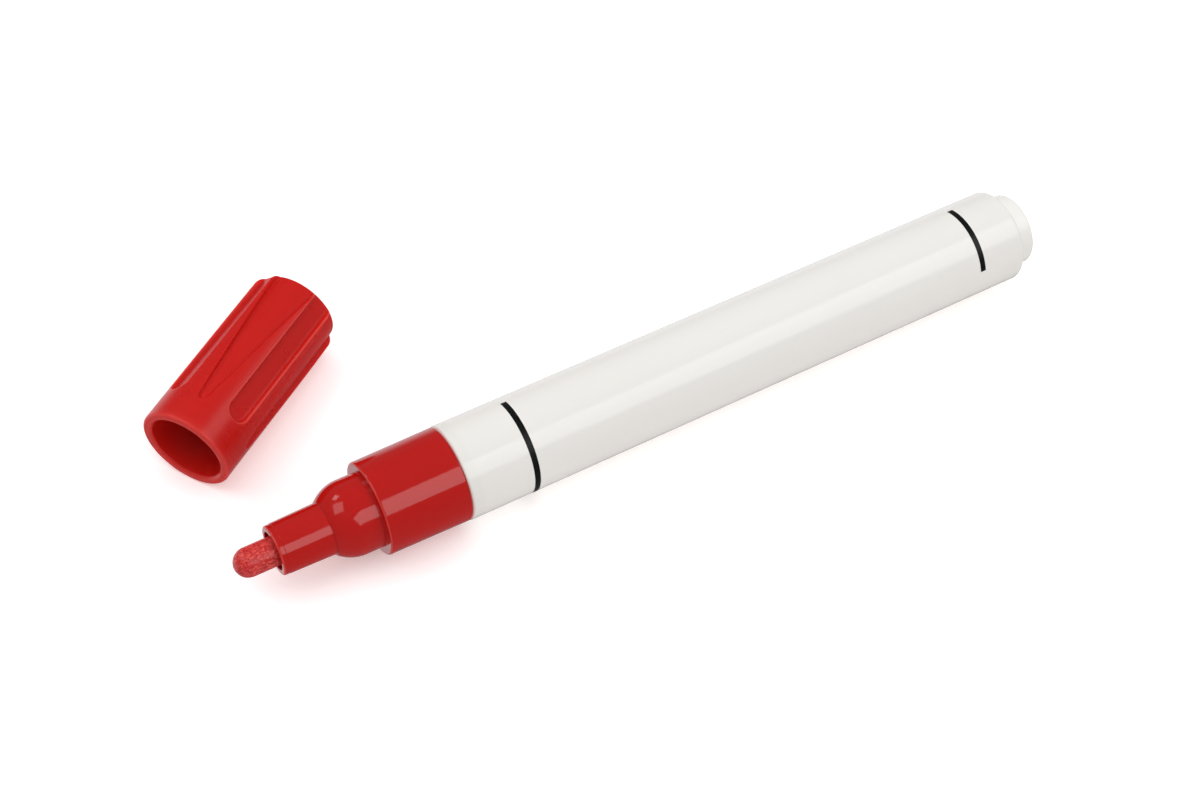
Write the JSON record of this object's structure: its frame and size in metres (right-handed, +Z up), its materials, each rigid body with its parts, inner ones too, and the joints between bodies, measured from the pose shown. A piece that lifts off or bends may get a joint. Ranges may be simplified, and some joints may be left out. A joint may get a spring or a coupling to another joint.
{
  "type": "paint marker",
  "caption": "Valve-action paint marker with a bullet nib, white tubular barrel and red nose, its fluted push-on cap pulled off and lying beside it.",
  "frame": {"origin": "on the surface the marker and its cap lie on, under the centre of the box around both", "axes": "+X along the marker from nib to tail, +Y towards the cap, +Z up"},
  "size_m": [0.1394, 0.051, 0.015],
  "materials": {
    "barrel_white": "off-white moulded plastic, satin gloss",
    "ring_ink": "black ink printed in two rings round the barrel",
    "nose_red": "red moulded plastic, high gloss",
    "cap_red": "red moulded plastic, satin gloss",
    "nib_fibre": "bonded fibre soaked in red paint",
    "valve_plastic": "natural white moulded plastic",
    "spring_steel": "drawn stainless spring wire",
    "ball_steel": "polished steel ball"
  },
  "bodies": {
    "marker": {"barrel": "barrel_white", "tail_plug": "barrel_white", "front_section": "nose_red", "valve_seat": "valve_plastic", "valve_cage": "valve_plastic", "valve_spring": "spring_steel"},
    "plunger": {"valve_plunger": "valve_plastic"},
    "nib": {"nib": "nib_fibre"},
    "ball": {"mixing_ball": "ball_steel"},
    "cap": {"cap_shell": "cap_red", "cap_inner_seal": "valve_plastic"}
  },
  "joints": [
    {"name": "valve_lift", "type": "slide", "parent": "marker", "child": "plunger", "axis": [1, 0, 0], "range_m": [0, 0.002], "stiffness_N_per_m": 600, "springref_m": -0.0025, "deforming": ["valve_spring"]},
    {"name": "nib_press", "type": "slide", "parent": "marker", "child": "nib", "axis": [1, 0, 0], "range_m": [0, 0.002]},
    {"name": "ball_roll", "type": "slide", "parent": "marker", "child": "ball", "axis": [1, 0, 0], "range_m": [-0.0298, 0.044]},
    {"name": "cap_pull", "type": "slide", "parent": "marker", "child": "cap", "axis": [0.8471, 0.5314, 0], "range_m": [0, 0.0213]}
  ],
  "couplings": [
    {"joint": "nib_press", "follows": "valve_lift", "ratio": 1}
  ]
}
